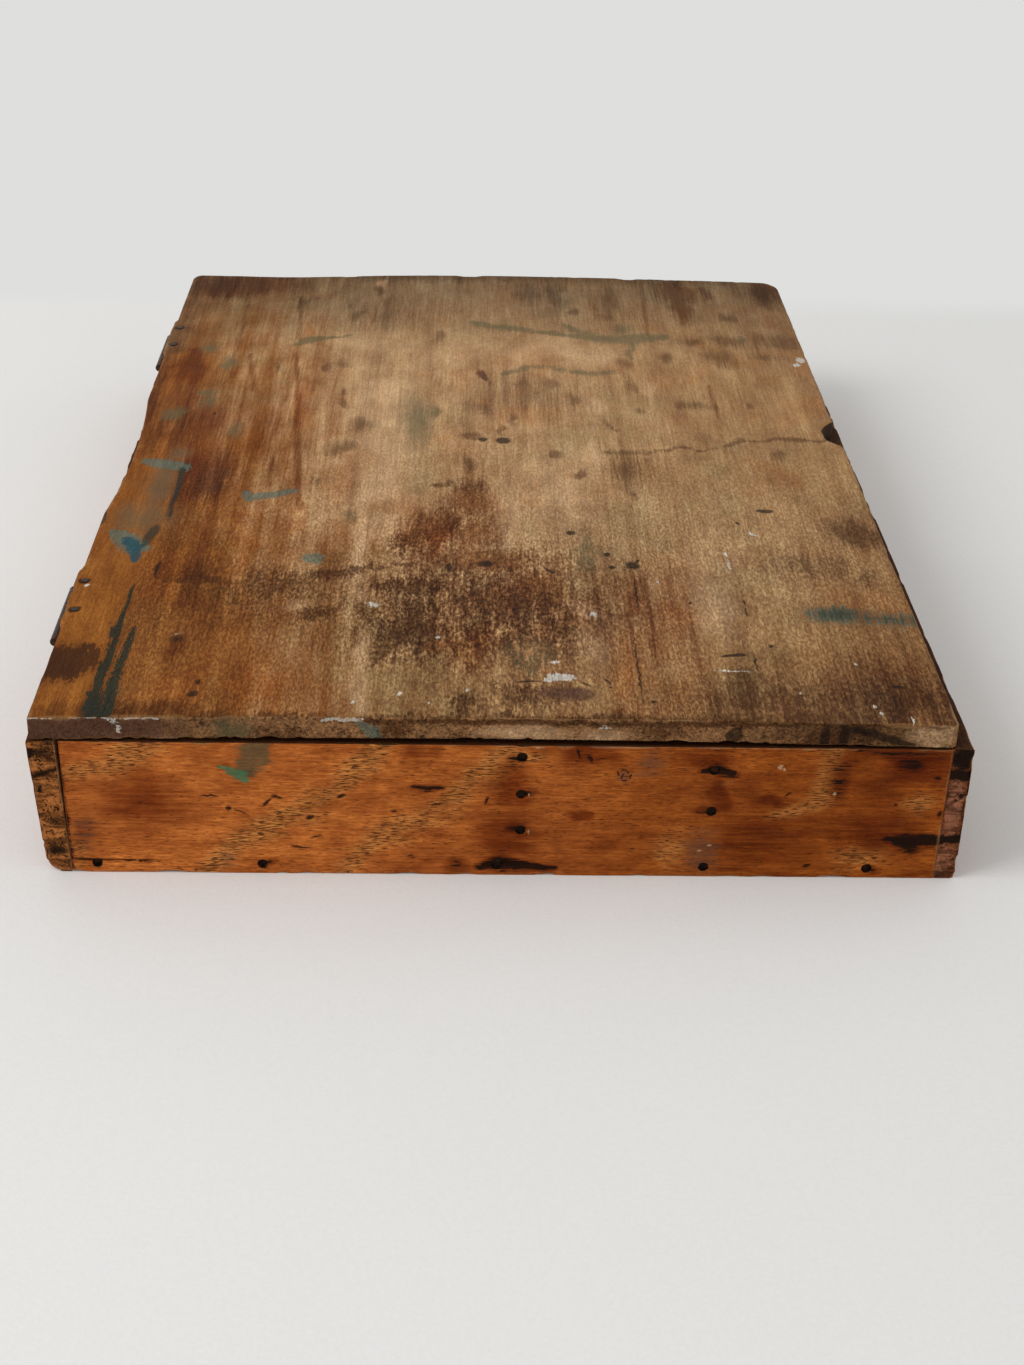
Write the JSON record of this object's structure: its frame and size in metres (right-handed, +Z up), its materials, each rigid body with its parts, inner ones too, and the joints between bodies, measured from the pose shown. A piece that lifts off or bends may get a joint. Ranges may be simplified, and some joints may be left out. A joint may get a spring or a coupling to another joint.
{
  "type": "art box",
  "caption": "Shallow nailed wooden art box with lengthwise bays, closed by a cupped solid-board lid on butt hinges along a long side, with a finger notch in the lid's free edge.",
  "frame": {"origin": "middle of the box's underside, on the surface that it stands on", "axes": "+X from the hinged long side to the free side, +Y from the front end to the back end, +Z up"},
  "size_m": [0.2571, 0.356, 0.0515],
  "materials": {
    "lid_wood": "worn, matt, stained and dabbed with old paint",
    "side_wood": "old rubbed varnish, dirty, with worn end grain",
    "end_wood": "old rubbed varnish, satin",
    "bottom_wood": "bare, dusty",
    "divider_wood": "bare, handled",
    "nail_iron": "rusted dark",
    "hinge_iron": "dark, worn, lightly rusted",
    "screw_iron": "dark, worn"
  },
  "bodies": {
    "box": {"left_side": "side_wood", "right_side": "side_wood", "front_end": "end_wood", "back_end": "end_wood", "bottom_board": "bottom_wood", "centre_divider": "divider_wood", "right_divider": "divider_wood", "front_divider_nails": "nail_iron", "back_divider_nails": "nail_iron", "front_bottom_nails": "nail_iron", "back_bottom_nails": "nail_iron", "left_corner_nails": "nail_iron", "right_corner_nails": "nail_iron", "left_bottom_nails": "nail_iron", "right_bottom_nails": "nail_iron", "front_hinge_side_leaf": "hinge_iron", "rear_hinge_side_leaf": "hinge_iron", "front_hinge_pin": "hinge_iron", "rear_hinge_pin": "hinge_iron", "front_hinge_side_screws": "screw_iron", "rear_hinge_side_screws": "screw_iron"},
    "lid": {"lid_board": "lid_wood", "front_hinge_lid_leaf": "hinge_iron", "rear_hinge_lid_leaf": "hinge_iron", "front_hinge_lid_screws": "screw_iron", "rear_hinge_lid_screws": "screw_iron"}
  },
  "joints": [
    {"name": "lid_hinge", "type": "hinge", "parent": "box", "child": "lid", "pos_m": [-0.1287, 0, 0.04285], "axis": [0, -1, 0], "range_deg": [0, 180]}
  ]
}
